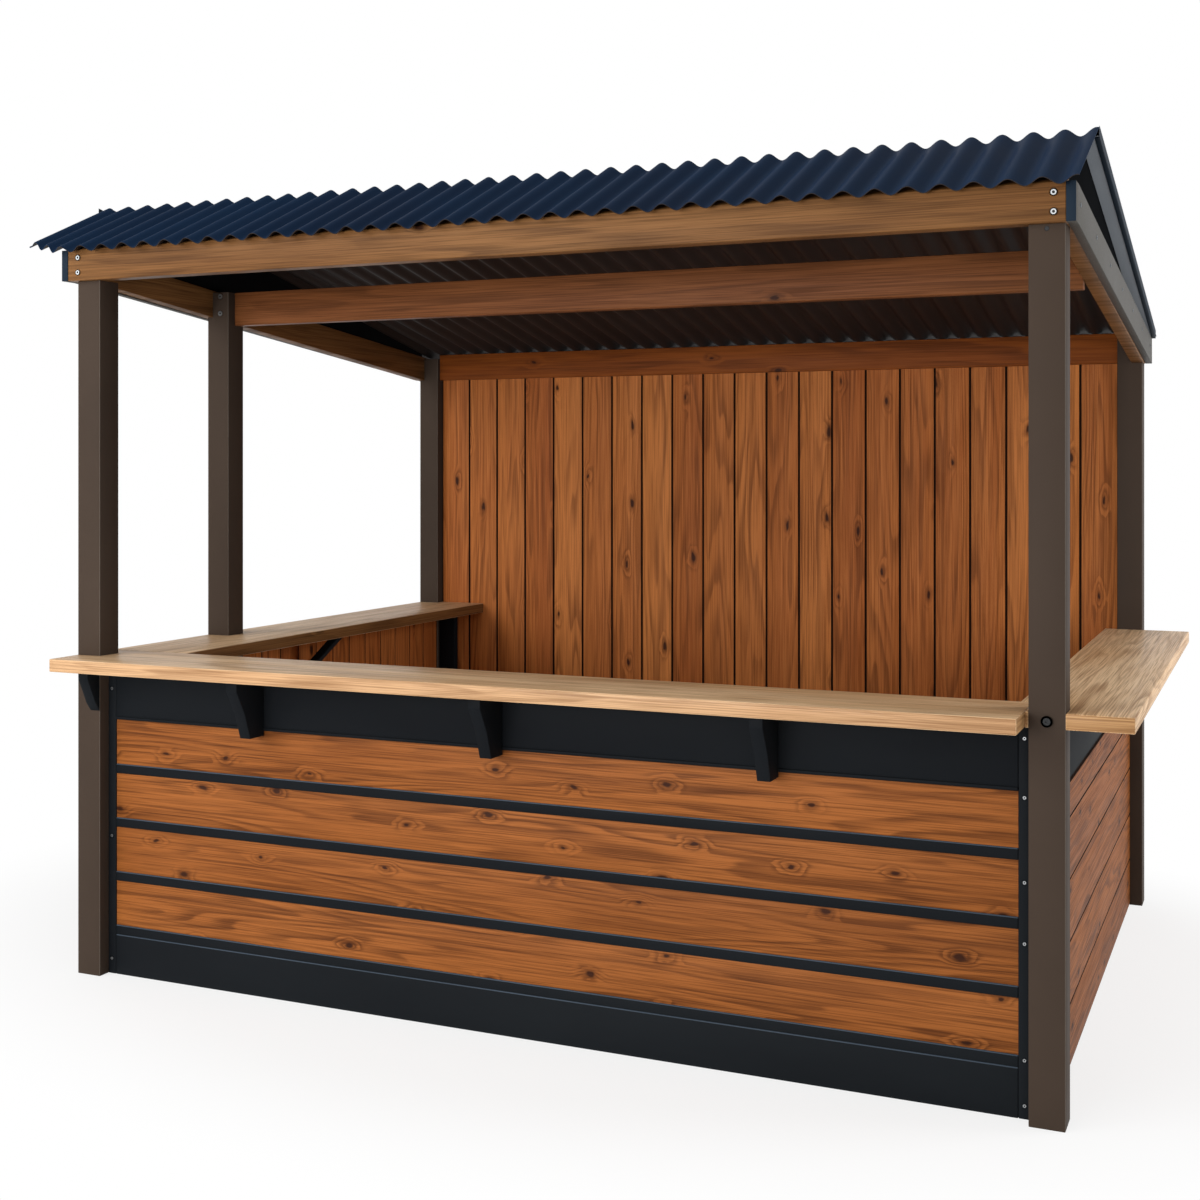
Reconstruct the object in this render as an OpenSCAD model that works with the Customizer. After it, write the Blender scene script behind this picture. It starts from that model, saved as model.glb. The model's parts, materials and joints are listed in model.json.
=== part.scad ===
// Open-sided serving kiosk: five posts, plank counters on three sides,
// low clad walls, a boarded back and a corrugated roof.
// Millimetres, +Z up, +X to the right seen from the front, +Y to the back.
// The origin is on the ground at the centre of the kiosk's overall outline.

/* [Main sizes] */

// Width over the outer faces of the corner posts
span_w = 3120; // [2400:10:4000]

// Depth over the outer faces of the corner posts
span_d = 2310; // [1700:10:3000]

// Height of the underside of the front beam
beam_z = 2259; // [2060:1:2460]

// Height of the counter's top face
counter_z = 1040; // [900:1:1150]

/* [Posts] */

// Side of the square posts
post_w = 90; // [70:1:110]

// Wall of the square tube posts
post_wall = 4; // [2:0.5:8]

// Thickness of the plate that closes each post's foot
foot_t = 6; // [4:1:12]

// Front face of the left middle post, behind the front of the corner post
mid_post_y = 678; // [500:1:900]

/* [Beams] */

// Height of the front beam's face
front_beam_h = 100; // [80:1:140]

// Thickness of the front beam
front_beam_t = 55; // [40:1:80]

// How far the front beam stands in front of the posts
front_beam_out = 20; // [0:1:30]

// How far the front beam and the right rafter stand outside the right posts
side_out = 4; // [2:1:16]

// How far the front beam and the left rafter stand outside the left posts
side_out_l = 24; // [5:1:30]

// Thickness of the side rafters, from their outer face
rafter_t = 45; // [40:1:60]

// Height of the side rafters
rafter_h = 100; // [80:1:140]

// Fall of the rafters from the front posts to the rear posts
roof_fall = 212; // [140:1:260]

// How far the middle beam lies behind the middle post's front face
mid_beam_set = 38; // [5:1:40]

// Thickness of the middle beam
mid_beam_t = 45; // [30:1:48]

// Height of the middle beam
mid_beam_h = 120; // [100:1:160]

// Thickness of the plate above the back boards
rear_plate_t = 45; // [30:1:50]

/* [Roof] */

// Ridge line, behind the front faces of the posts
ridge_y = 380; // [300:1:560]

// Height of the sheets' underside at the ridge above the front beam's underside
ridge_rise = 285; // [250:1:380]

// Number of full waves across the sheets, which end on half a wave more
waves = 40; // [30:1:50]

// Height of the waves, underside trough to underside crest
wave_h = 20; // [12:1:30]

// Thickness of the roof sheets
sheet_t = 2; // [1:0.5:4]

// How far the front sheet's eave stands in front of the beam
eave_out = 25; // [10:1:60]

// How far the rear sheet runs past the rear posts
rear_out = 60; // [20:1:120]

// How far the sheets run past the posts on the left
roof_out_l = 240; // [120:1:260]

// How far the sheets run past the posts on the right
roof_out_r = 34; // [40:1:120]

// Width of the ridge purlin
purlin_w = 50; // [40:1:80]

// Height of the ridge purlin at its middle
purlin_h = 80; // [60:1:110]

// Thickness of the boards that close the gables
infill_t = 20; // [12:1:24]

// How far the gable boards are set in from the rafters' outer face
infill_set = 14; // [0:1:20]

// Cut at the front sheet's left corner, along the eave
corner_cut_x = 185; // [20:1:240]

// Cut at the front sheet's left corner, from the eave to the back
corner_cut_y = 85; // [20:1:160]

// Thickness of the metal fascias
fascia_t = 24; // [12:1:28]

// Thickness of the verge flashings
verge_t = 2; // [1:0.5:4]

// Height of the verge flashings' outer lip
verge_lip = 26; // [22:1:40]

// How far the left verge flashing's inner edge lies outside the posts
verge_in_l = 150; // [60:1:160]

/* [Counters] */

// Thickness of the counter planks
counter_t = 41; // [30:1:60]

// Width of the counter planks
counter_w = 300; // [240:1:360]

// How far the front counter stands in front of the posts
counter_out = 132; // [80:1:180]

// How far the right counter stands outside the posts
counter_out_r = 165; // [100:1:200]

// Gap between the front counter's right end and the right post
end_gap = 9; // [5:1:20]

/* [Brackets] */

// Width of the front brackets
bracket_w = 38; // [20:1:60]

// Spacing of the front brackets
bracket_gap = 833; // [600:1:1000]

// Shift of the front brackets to the left of the middle
bracket_shift = 45; // [0:1:100]

// Reach of the brackets in front of the posts
bracket_out = 100; // [60:1:110]

// Height of the brackets
bracket_h = 183; // [140:1:220]

// Reach of the post's bracket in front of the post
post_bracket_out = 58; // [30:1:90]

// Height of the post's bracket
post_bracket_h = 138; // [100:1:180]

// Middle of the inner bracket, behind the front faces of the posts
inner_bracket_y = 1130; // [900:1:1400]

/* [Front panel] */

// How far the front panel is set back from the posts
panel_set = 41; // [20:1:44]

// Thickness of the low walls, boards and lining together
wall_t = 38; // [30:1:44]

// How far the boards lie behind the black bars
board_set = 4; // [2:1:8]

// Depth of the black bars
bar_t = 24; // [16:1:28]

// Height of the skirt
skirt_h = 130; // [100:1:160]

// Height of one front board
board_h = 144; // [120:1:150]

// Height of one black bar
bar_h = 31; // [20:1:40]

// Width of the black stiles
stile_w = 31; // [20:1:50]

/* [Side and back walls] */

// How far the side walls' inner face lies outside the posts' inner face
side_in = 7; // [0:1:20]

// Height of the side boards
side_board_h = 785; // [700:1:800]

// How far the rail above the side boards is set in from them
rail_set = 6; // [3:1:12]

// Thickness of the back boards
back_t = 20; // [16:1:28]

// How far the back boards' outer face lies inside the rear of the posts
back_set = 25; // [10:1:35]

// Width of the black stile at the back wall's left end
rear_stile_w = 80; // [50:1:120]

// Depth of that stile
rear_stile_t = 30; // [20:1:60]

/* [Node] */

// Name of the one piece to show, or all

/* [Hidden] */

// Colours
post_c = [0.23, 0.19, 0.16];
black_c = [0.10, 0.11, 0.12];
stain_c = [0.52, 0.26, 0.13];
beam_c = [0.45, 0.28, 0.16];
oak_c = [0.72, 0.53, 0.34];
navy_c = [0.06, 0.11, 0.20];
grey_c = [0.40, 0.40, 0.39];
pale_c = [0.55, 0.58, 0.61];

// Working frame: x = 0 at the left posts' outer face, y = 0 at the front
// posts' front face, z = 0 at the ground.
rear_y = span_d - post_w;
under_z = counter_z - counter_t;
rafter_in = rafter_t - side_out;
infill_x = infill_set - side_out;
infill_x_l = infill_set - side_out_l;

// Rafters: underside level on the posts and straight between them
rafter_y0 = front_beam_t - front_beam_out;
rear_z = beam_z - roof_fall;
top_z0 = beam_z + rafter_h;
roof_z1 = rear_z + rafter_h;
top_z1 = roof_z1 - 2 * verge_t;
function top_line(y) = top_z0 - (top_z0 - top_z1) * (y - rafter_y0) / (span_d - rafter_y0);
rafter_pts = [
    [rafter_y0, beam_z], [post_w, beam_z], [rear_y, rear_z], [span_d, rear_z],
    [span_d, top_z1], [rafter_y0, top_z0]
];

// Side walls, from the posts' outer faces
side_set = post_w - side_in - wall_t;

// Roof planes: the underside of the troughs
eave_y = -front_beam_out;
eave_z = beam_z + front_beam_h;
ridge_z = beam_z + ridge_rise;
front_slope = (ridge_z - eave_z) / (ridge_y - eave_y);
rear_slope = (ridge_z - roof_z1) / (span_d - ridge_y);
function front_plane(y) = eave_z + front_slope * (y - eave_y);
function rear_plane(y) = ridge_z - rear_slope * (y - ridge_y);
front_a = atan(front_slope);
rear_a = atan(rear_slope);
roof_w = span_w + roof_out_l + roof_out_r;
pitch = roof_w / (waves + 1 / 2);
steps = 8;
function wave(i) = wave_h * (cos(22.5) - cos(360 * i / steps - 22.5)) / (2 * cos(22.5));
last = (waves + 1 / 2) * steps + 1;
sheet_pts = concat(
    [for (i = [0 : last]) [pitch * (i - 0.5) / steps, wave(i)]],
    [for (i = [last : -1 : 0]) [pitch * (i - 0.5) / steps, wave(i) + sheet_t]]
);
far = 20 * rear_out;

// Counters
front_back_y = counter_w - counter_out;
front_right_x = span_w - post_w - end_gap;
right_x0 = span_w + counter_out_r - counter_w;
right_x1 = span_w + counter_out_r;
wall_y = span_d - back_set - back_t;

// Middle of the overall outline
min_x = -roof_out_l - pitch / steps / 2 - verge_t;
max_x = max(right_x1, span_w + roof_out_r + verge_t + pitch / steps / 2);
min_y = min(-counter_out, eave_y - eave_out - wave_h);
max_y = span_d + rear_out;
mid_x = (min_x + max_x) / 2;
mid_y = (min_y + max_y) / 2;

module placed() {
    translate([-mid_x, -mid_y, 0]) children();
}

// A block between two opposite corners
module block(a, b) {
    translate(a) cube(b - a);
}

// A [y, z] outline made solid between two values of x
module along_x(x0, x1, pts) {
    translate([x0, 0, 0]) rotate([90, 0, 90]) linear_extrude(x1 - x0) polygon(pts);
}

// A [x, z] outline made solid between two values of y
module along_y(y0, y1, pts) {
    translate([0, y1, 0]) rotate([90, 0, 0]) linear_extrude(y1 - y0) polygon(pts);
}

// A square tube with a closed foot
module tube(x, y, h) {
    difference() {
        block([x, y, 0], [x + post_w, y + post_w, h]);
        block([x + post_wall, y + post_wall, foot_t],
              [x + post_w - post_wall, y + post_w - post_wall, h + post_w]);
    }
}

module rafter_solid(x0) {
    along_x(x0, x0 + rafter_t, rafter_pts);
}

// The sheets' wave, from the left verge to the right one
module corrugated(s0, s1) {
    translate([-roof_out_l, 0, 0]) along_y(s0, s1, sheet_pts);
}

// ---- posts ----

module post_front_left() {
    color(post_c) placed() tube(0, 0, beam_z);
}

module post_front_right() {
    color(post_c) placed() tube(span_w - post_w, 0, beam_z);
}

module post_middle_left() {
    color(post_c) placed() difference() {
        tube(0, mid_post_y, top_line(mid_post_y + post_w));
        rafter_solid(-side_out_l);
    }
}

module post_rear_left() {
    color(post_c) placed() difference() {
        tube(0, rear_y, top_z1);
        rafter_solid(-side_out_l);
    }
}

module post_rear_right() {
    color(post_c) placed() difference() {
        tube(span_w - post_w, rear_y, top_z1);
        rafter_solid(span_w + side_out - rafter_t);
    }
}

// ---- beams ----

module front_beam() {
    color(beam_c) placed() along_x(-side_out_l, span_w + side_out, [
        [eave_y, beam_z], [rafter_y0, beam_z],
        [rafter_y0, front_plane(rafter_y0)], [eave_y, eave_z]
    ]);
}

module middle_beam() {
    y0 = mid_post_y + mid_beam_set;
    z1 = top_line(y0 + mid_beam_t);
    color(beam_c) placed()
        block([post_w, y0, z1 - mid_beam_h], [span_w - rafter_in, y0 + mid_beam_t, z1]);
}

module rear_top_plate() {
    y0 = wall_y + back_t - rear_plate_t;
    y1 = wall_y + back_t;
    color(beam_c) placed() along_x(post_w, span_w - post_w, [
        [y0, rear_z], [y1, rear_z], [y1, rear_plane(y1)], [y0, rear_plane(y0)]
    ]);
}

module rafter_left() {
    color(beam_c) placed() rafter_solid(-side_out_l);
}

module rafter_right() {
    color(beam_c) placed() rafter_solid(span_w + side_out - rafter_t);
}

module ridge_purlin() {
    y0 = ridge_y - purlin_w / 2;
    y1 = ridge_y + purlin_w / 2;
    color(beam_c) placed() along_x(infill_x_l + infill_t, span_w - infill_x - infill_t, [
        [y0, ridge_z - purlin_h], [y1, ridge_z - purlin_h],
        [y1, rear_plane(y1)], [ridge_y, ridge_z], [y0, front_plane(y0)]
    ]);
}

module gable_infill(x0) {
    along_x(x0, x0 + infill_t, [
        [rafter_y0, top_z0], [rear_y, top_line(rear_y)],
        [rear_y, rear_plane(rear_y)], [ridge_y, ridge_z],
        [rafter_y0, front_plane(rafter_y0)]
    ]);
}

module gable_infill_left() {
    color(black_c) placed() gable_infill(infill_x_l);
}

module gable_infill_right() {
    color(black_c) placed() gable_infill(span_w - infill_x - infill_t);
}

// ---- roof covering ----

module roof_sheet_front() {
    color(navy_c) placed() difference() {
        translate([0, eave_y, eave_z]) rotate([front_a, 0, 0])
            corrugated(-eave_out, (ridge_y - eave_y) / cos(front_a) + post_w);
        block([-roof_out_l - far, ridge_y, ridge_z - far],
              [span_w + roof_out_r + far, ridge_y + far, ridge_z + far]);
        translate([-roof_out_l, eave_y - eave_out, eave_z - far]) linear_extrude(2 * far)
            polygon([
                [-2 * corner_cut_x, 3 * corner_cut_y], [3 * corner_cut_x, -2 * corner_cut_y],
                [-2 * corner_cut_x, -2 * corner_cut_y]
            ]);
    }
}

module roof_sheet_rear() {
    color(navy_c) placed() difference() {
        translate([0, ridge_y, ridge_z]) rotate([-rear_a, 0, 0])
            corrugated(-post_w, (max_y - ridge_y) / cos(rear_a) - wave_h * sin(rear_a));
        block([-roof_out_l - far, ridge_y - far, ridge_z - far],
              [span_w + roof_out_r + far, ridge_y, ridge_z + far]);
    }
}

module fascia(x0) {
    along_x(x0, x0 + fascia_t, [
        [eave_y, beam_z], [rafter_y0, beam_z], [span_d, rear_z],
        [span_d, top_z1], [rafter_y0, top_z0], [eave_y, top_z0]
    ]);
}

module fascia_left() {
    color(grey_c) placed() fascia(-side_out_l - fascia_t);
}

module fascia_right() {
    color(grey_c) placed() fascia(span_w + side_out);
}

// A flat strip under the sheet with a lip up its outer edge,
// from the ridge to the rear eave
module verge(x_in, x_out) {
    lip = x_out > x_in ? [x_out, x_out + verge_t] : [x_out - verge_t, x_out];
    lo = min(x_in, lip[0]);
    hi = max(x_in, lip[1]);
    difference() {
        translate([0, ridge_y, ridge_z]) rotate([-rear_a, 0, 0]) union() {
            block([lo, -post_w, -verge_t],
                  [hi, (span_d - ridge_y) / cos(rear_a), 0]);
            block([lip[0], -post_w, -verge_t],
                  [lip[1], (span_d - ridge_y) / cos(rear_a), verge_lip]);
        }
        block([lo - far, ridge_y - far, ridge_z - far],
              [hi + far, ridge_y, ridge_z + far]);
    }
}

module verge_left() {
    color(pale_c) placed()
        verge(-verge_in_l, -roof_out_l - pitch / steps / 2);
}

module verge_right() {
    color(pale_c) placed()
        verge(span_w - infill_x, span_w + roof_out_r + pitch / steps / 2);
}

// ---- counters ----

module counter_front() {
    color(oak_c) placed() difference() {
        block([0, -counter_out, under_z], [front_right_x, front_back_y, counter_z]);
        block([-post_w, 0, under_z - counter_t], [post_w, post_w, counter_z + counter_t]);
    }
}

module counter_left() {
    color(oak_c) placed() difference() {
        block([0, front_back_y, under_z], [counter_w, wall_y, counter_z]);
        block([-post_w, mid_post_y, under_z - counter_t],
              [post_w, mid_post_y + post_w, counter_z + counter_t]);
        block([-post_w, rear_y, under_z - counter_t],
              [post_w, span_d, counter_z + counter_t]);
    }
}

module counter_right() {
    color(oak_c) placed() difference() {
        union() {
            block([right_x0, front_back_y, under_z], [right_x1, rear_y, counter_z]);
            block([front_right_x, 0, under_z], [right_x1, front_back_y, counter_z]);
        }
        block([span_w - post_w, -post_w, under_z - counter_t],
              [span_w, post_w, counter_z + counter_t]);
    }
}

// ---- brackets ----

module front_bracket(x) {
    step = bracket_h / 6;
    along_x(x - bracket_w / 2, x + bracket_w / 2, [
        [panel_set, under_z - bracket_h], [panel_set, under_z],
        [-bracket_out, under_z], [-bracket_out, under_z - step],
        [-bracket_out * 0.58, under_z - 3.4 * step],
        [-bracket_out * 0.30, under_z - bracket_h]
    ]);
}

bracket_x = span_w / 2 - bracket_shift;

module bracket_left() {
    color(black_c) placed() front_bracket(bracket_x - bracket_gap);
}

module bracket_middle() {
    color(black_c) placed() front_bracket(bracket_x);
}

module bracket_right() {
    color(black_c) placed() front_bracket(bracket_x + bracket_gap);
}

module bracket_post() {
    color(black_c) placed()
        along_x(post_w - bracket_w, post_w, [
            [0, under_z - post_bracket_h], [0, under_z], [-post_bracket_out, under_z],
            [-post_bracket_out, under_z - post_bracket_h * 0.2],
            [-post_bracket_out * 0.35, under_z - post_bracket_h * 0.8]
        ]);
}

// A slanting strut under the left counter's inner edge
module bracket_inner() {
    x0 = side_set + wall_t;
    x1 = counter_w - bracket_w / 2;
    color(black_c) placed()
        along_y(inner_bracket_y - bracket_w / 2, inner_bracket_y + bracket_w / 2, [
            [x0, under_z - (x1 - x0)], [x1, under_z], [x1 - bracket_w, under_z],
            [x0, under_z - (x1 - x0) + bracket_w]
        ]);
}

// ---- front panel ----

panel_x0 = post_w + stile_w;
panel_x1 = span_w - panel_x0;
boards_top = skirt_h + 4 * (board_h + bar_h);

module front_stile_left() {
    color(black_c) placed()
        block([post_w, panel_set, 0], [panel_x0, panel_set + wall_t, under_z]);
}

module front_stile_right() {
    color(black_c) placed()
        block([panel_x1, panel_set, 0], [span_w - post_w, panel_set + wall_t, under_z]);
}

module front_top_rail() {
    color(black_c) placed()
        block([panel_x0, panel_set, boards_top], [panel_x1, panel_set + wall_t, under_z]);
}

module front_skirt() {
    color(black_c) placed()
        block([panel_x0, panel_set, 0], [panel_x1, panel_set + wall_t, skirt_h]);
}

module bar(i) {
    z0 = skirt_h + (i - 1) * (board_h + bar_h);
    block([panel_x0, panel_set, z0], [panel_x1, panel_set + bar_t, z0 + bar_h]);
}

module front_boards() {
    color(stain_c) placed() difference() {
        block([panel_x0, panel_set + board_set, skirt_h],
              [panel_x1, panel_set + wall_t, boards_top]);
        for (i = [1 : 4]) bar(i);
    }
}

module front_bar_1() {
    color(black_c) placed() bar(1);
}

module front_bar_2() {
    color(black_c) placed() bar(2);
}

module front_bar_3() {
    color(black_c) placed() bar(3);
}

module front_bar_4() {
    color(black_c) placed() bar(4);
}

// ---- side and back walls ----

module left_wall_front() {
    color(stain_c) placed()
        block([side_set, post_w, 0], [side_set + wall_t, mid_post_y, side_board_h]);
}

module left_wall_rear() {
    color(stain_c) placed()
        block([side_set, mid_post_y + post_w, 0], [side_set + wall_t, rear_y, side_board_h]);
}

module left_rail_front() {
    color(black_c) placed()
        block([side_set + rail_set, post_w, side_board_h],
              [side_set + wall_t, mid_post_y, under_z]);
}

module left_rail_rear() {
    color(black_c) placed()
        block([side_set + rail_set, mid_post_y + post_w, side_board_h],
              [side_set + wall_t, rear_y, under_z]);
}

module right_wall() {
    color(stain_c) placed()
        block([span_w - side_set - wall_t, post_w, 0],
              [span_w - side_set, rear_y, side_board_h]);
}

module right_rail() {
    color(black_c) placed()
        block([span_w - side_set - wall_t, post_w, side_board_h],
              [span_w - side_set - rail_set, rear_y, under_z]);
}

module back_wall() {
    color(stain_c) placed()
        block([post_w, wall_y, 0], [span_w - post_w, wall_y + back_t, rear_z]);
}

module rear_stile() {
    color(black_c) placed()
        block([post_w, wall_y - rear_stile_t, 0],
              [post_w + rear_stile_w, wall_y, under_z]);
}

post_front_left();
post_front_right();
post_middle_left();
post_rear_left();
post_rear_right();
front_beam();
middle_beam();
rear_top_plate();
rafter_left();
rafter_right();
ridge_purlin();
gable_infill_left();
gable_infill_right();
roof_sheet_front();
roof_sheet_rear();
fascia_left();
fascia_right();
verge_left();
verge_right();
counter_front();
counter_left();
counter_right();
bracket_left();
bracket_middle();
bracket_right();
bracket_post();
bracket_inner();
front_stile_left();
front_stile_right();
front_top_rail();
front_skirt();
front_boards();
front_bar_1();
front_bar_2();
front_bar_3();
front_bar_4();
left_wall_front();
left_wall_rear();
left_rail_front();
left_rail_rear();
right_wall();
right_rail();
back_wall();
rear_stile();
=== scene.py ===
# %% [markdown]
# # A serving kiosk
# An open-sided kiosk: square steel posts, timber beams, a corrugated steel
# roof, oak counters on three sides and stained board walls. The CAD frame is
# loaded first. Places are read from its boxes, or counted up from the ground,
# so the pieces fit without any measuring by eye.

# %% Load the frame
import bpy
import bmesh
import json
import math
import random
from mathutils import Matrix, Vector


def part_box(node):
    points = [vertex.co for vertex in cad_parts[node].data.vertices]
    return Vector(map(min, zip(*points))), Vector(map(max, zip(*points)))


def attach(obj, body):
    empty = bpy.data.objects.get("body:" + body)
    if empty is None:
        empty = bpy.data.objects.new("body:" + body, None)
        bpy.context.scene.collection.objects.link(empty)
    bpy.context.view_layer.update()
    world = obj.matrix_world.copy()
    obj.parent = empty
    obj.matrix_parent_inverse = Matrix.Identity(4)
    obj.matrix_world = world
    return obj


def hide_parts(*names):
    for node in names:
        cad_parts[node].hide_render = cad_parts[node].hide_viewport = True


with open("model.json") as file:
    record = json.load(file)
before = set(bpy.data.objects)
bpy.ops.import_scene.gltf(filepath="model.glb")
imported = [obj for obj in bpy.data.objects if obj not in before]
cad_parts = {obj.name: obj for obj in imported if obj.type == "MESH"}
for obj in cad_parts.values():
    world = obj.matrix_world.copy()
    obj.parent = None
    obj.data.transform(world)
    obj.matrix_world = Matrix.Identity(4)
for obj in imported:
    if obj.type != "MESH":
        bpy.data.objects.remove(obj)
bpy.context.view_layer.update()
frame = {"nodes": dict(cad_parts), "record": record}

# %% Where the corners are
outer_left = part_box("post_front_left")[0]
outer_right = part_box("post_rear_right")[1]
left, front = outer_left.x, outer_left.y
right, rear = outer_right.x, outer_right.y
print("width over the posts", round(right - left, 3), "depth", round(rear - front, 3))

# %% [markdown]
# ## Camera
# The kiosk is seen from its front right corner at a person's eye height. The
# camera is level, and a little downward shift frames the object without
# leaning its posts.

# %% Camera
eye_place = (3.632, -4.066, 1.651)
heading = 23.545
eye = bpy.data.cameras.new("eye")
eye.sensor_width = 36.0
eye.lens = 47.55
eye.shift_y = -0.1104
camera = bpy.data.objects.new("camera", eye)
camera.location = (left + eye_place[0], front + eye_place[1], eye_place[2])
camera.rotation_euler = (math.radians(90), 0, math.radians(heading))
bpy.context.scene.collection.objects.link(camera)
bpy.context.scene.camera = camera
print("camera turned", heading, "degrees, lens", round(eye.lens, 2), "mm")

# %% [markdown]
# ## Working in edit mode from code
# By hand one clicks the faces to work on. In code they are chosen by where
# they are or which way they face. `pick` does that, `middle` gives an edge's
# or a face's centre, and `rest` clears the selection before a new piece.

# %% Selecting
def rest():
    """Back to object mode with nothing selected."""
    if bpy.context.object and bpy.context.object.mode != "OBJECT":
        bpy.ops.object.mode_set(mode="OBJECT")
    bpy.ops.object.select_all(action="DESELECT")


def middle(part):
    total = Vector()
    for corner in part.verts:
        total += corner.co
    return total / len(part.verts)


def pick(piece, kind, wanted):
    """In edit mode, selects the verts, edges or faces for which wanted is true."""
    bpy.ops.mesh.select_mode(type=kind.upper())
    bpy.ops.mesh.select_all(action="DESELECT")
    mesh = bmesh.from_edit_mesh(piece.data)
    parts = {"vert": mesh.verts, "edge": mesh.edges, "face": mesh.faces}[kind]
    parts.ensure_lookup_table()
    chosen = [part for part in parts if wanted(part)]
    for part in chosen:
        part.select_set(True)
    mesh.select_flush_mode()
    bmesh.update_edit_mesh(piece.data)
    return len(chosen)


def active(piece):
    """Selects one piece and makes it the one that operators work on."""
    rest()
    piece.select_set(True)
    bpy.context.view_layer.objects.active = piece


def settle(piece):
    """Puts the piece's place, turn and size into its mesh."""
    active(piece)
    bpy.ops.object.transform_apply(location=True, rotation=True, scale=True)


def block(name, low, high):
    """A box between two corners, added at its size and place."""
    rest()
    centre = (Vector(low) + Vector(high)) / 2
    size = Vector(high) - Vector(low)
    bpy.ops.mesh.primitive_cube_add(size=1, location=centre, scale=size)
    piece = bpy.context.object
    piece.name = name
    piece.data.name = name
    settle(piece)
    return piece


def twin(source):
    """A copy with a mesh of its own."""
    made = source.copy()
    made.data = source.data.copy()
    bpy.context.scene.collection.objects.link(made)
    return made


# %% [markdown]
# ## Colours and nodes
# Colours are written as the eye names them, in sRGB hex, and turned to linear
# light once. `add` puts one node in a tree, with its settings and its links.

# %% Colour and node helpers
def linear(hexa):
    """An sRGB hex colour as linear red, green, blue and alpha."""
    parts = [int(hexa[i:i + 2], 16) / 255 for i in (1, 3, 5)]
    return [c / 12.92 if c <= 0.04045 else ((c + 0.055) / 1.055) ** 2.4 for c in parts] + [1.0]


def add(tree, kind, settings=None, **inputs):
    """Adds a node. A setting is the node's own; an input is a value or a link."""
    made = tree.nodes.new(kind)
    for key, value in (settings or {}).items():
        setattr(made, key, value)
    for key, value in inputs.items():
        place = int(key[1:]) if key[0] == "i" and key[1:].isdigit() else key.replace("_", " ")
        socket = made.inputs[place]
        if isinstance(value, bpy.types.NodeSocket):
            tree.links.new(value, socket)
        else:
            socket.default_value = value
    return made


def mixed(tree, fac, first, second):
    """One colour turning into another as fac goes from 0 to 1."""
    made = add(tree, "ShaderNodeMix", {"data_type": "RGBA"}, i0=fac, i6=first, i7=second)
    return made.outputs[2]


def new_material(name):
    made = bpy.data.materials.new(name)
    made.use_nodes = True
    tree = made.node_tree
    tree.nodes.clear()
    shader = tree.nodes.new("ShaderNodeBsdfPrincipled")
    out = tree.nodes.new("ShaderNodeOutputMaterial")
    tree.links.new(shader.outputs[0], out.inputs[0])
    return made, tree, shader


# %% [markdown]
# ## Wood
# A flat-sawn board cuts its growth rings at a low angle, so they show as long
# pointed arches, and they flow round the knots. The arches are drawn as level
# lines of a soft noise that is stretched along the grain, and each knot is a
# bump added to that noise. Softwood's dark summer growth ends sharply, so the
# lines rise slowly and drop at once. Fine pores are a second noise, stretched
# much more. Each board carries its own number in the attribute `board`, which
# moves the pattern and changes the tone, as no two boards match.

# %% Wood
knot_heart = "#2A1208"
grain_depth = 0.0006
wood_gleam = 0.1


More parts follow.
